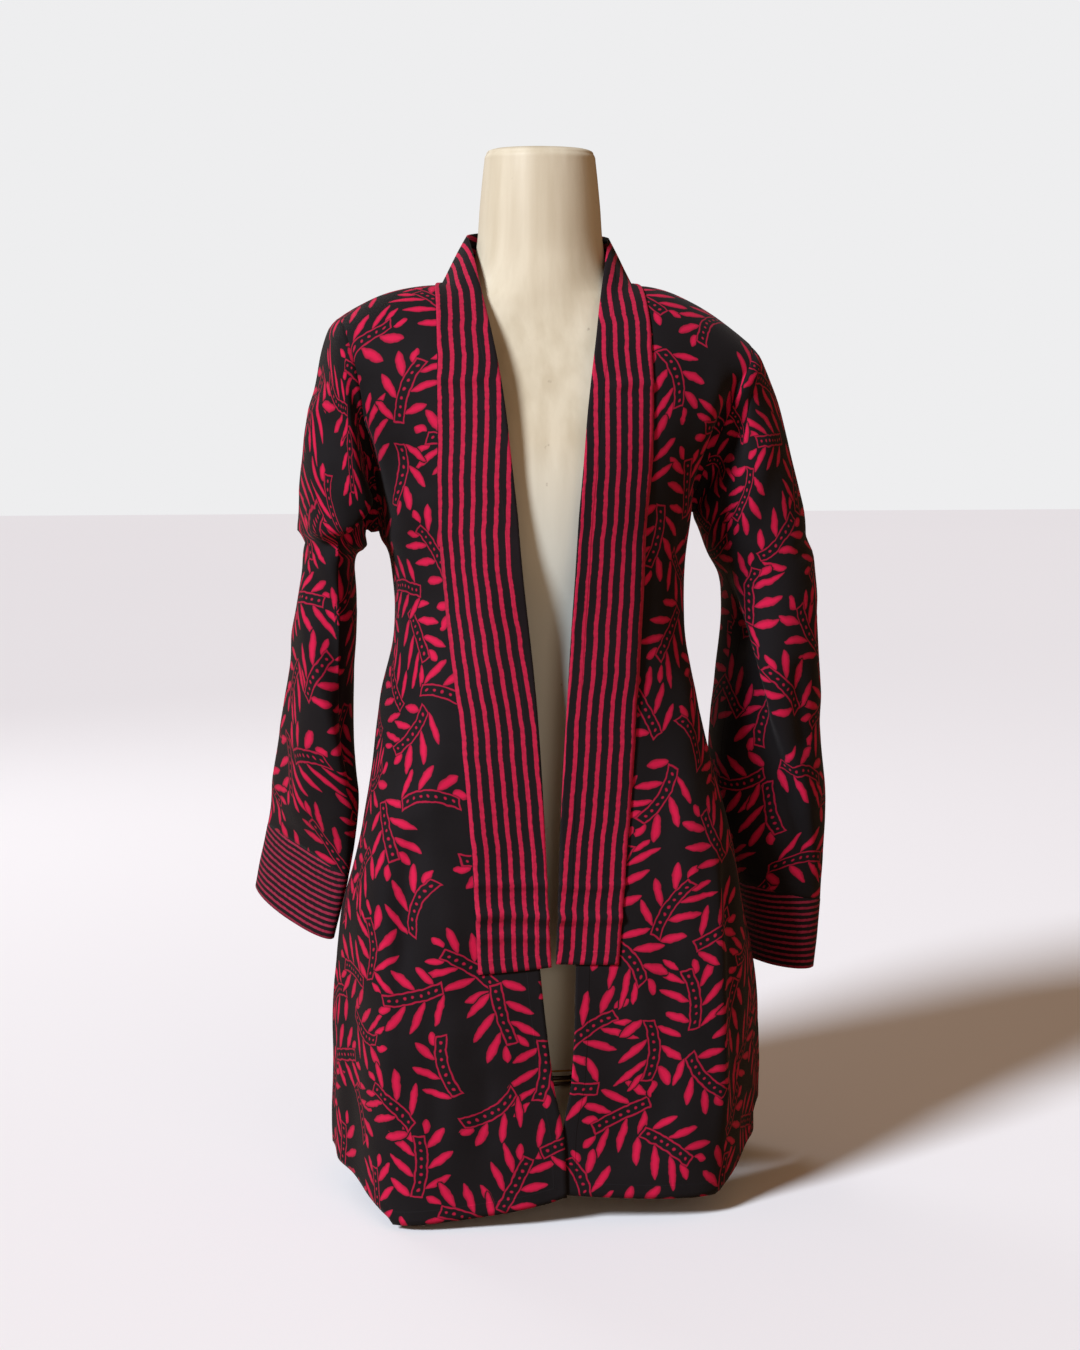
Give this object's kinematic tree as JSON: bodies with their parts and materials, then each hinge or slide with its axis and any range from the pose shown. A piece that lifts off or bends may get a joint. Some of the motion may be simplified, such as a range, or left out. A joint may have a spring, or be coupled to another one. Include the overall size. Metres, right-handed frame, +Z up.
{
  "type": "kimono cardigan on a limbless dress form",
  "caption": "Open-front printed cotton kimono cardigan with striped front band and striped cuffs, hanging on a limbless cream dress form with a tall neck and a low base.",
  "frame": {"origin": "on the floor, on the base's underside, below the middle of the form's neck", "axes": "+Z up, -Y is the front of the garment, +X is the wearer's left"},
  "size_m": [0.5397, 0.3109, 0.96],
  "materials": {
    "printed_cotton": "matte plain-weave cotton, black with crimson leaf sprigs",
    "striped_cotton": "matte plain-weave cotton, crimson stripes on black",
    "form_lacquer": "satin cream lacquer with faint upright streaks",
    "form_joint": "dark satin joint ring"
  },
  "bodies": {
    "root": {"back": "printed_cotton", "front_right": "printed_cotton", "front_left": "printed_cotton", "sleeve_right": "printed_cotton", "sleeve_left": "printed_cotton", "cuff_right": "striped_cotton", "cuff_left": "striped_cotton", "band_right": "striped_cotton", "band_left": "striped_cotton", "dress_form": "form_lacquer", "form_ring": "form_joint", "form_lower": "form_lacquer", "form_base": "form_lacquer"}
  },
  "joints": []
}
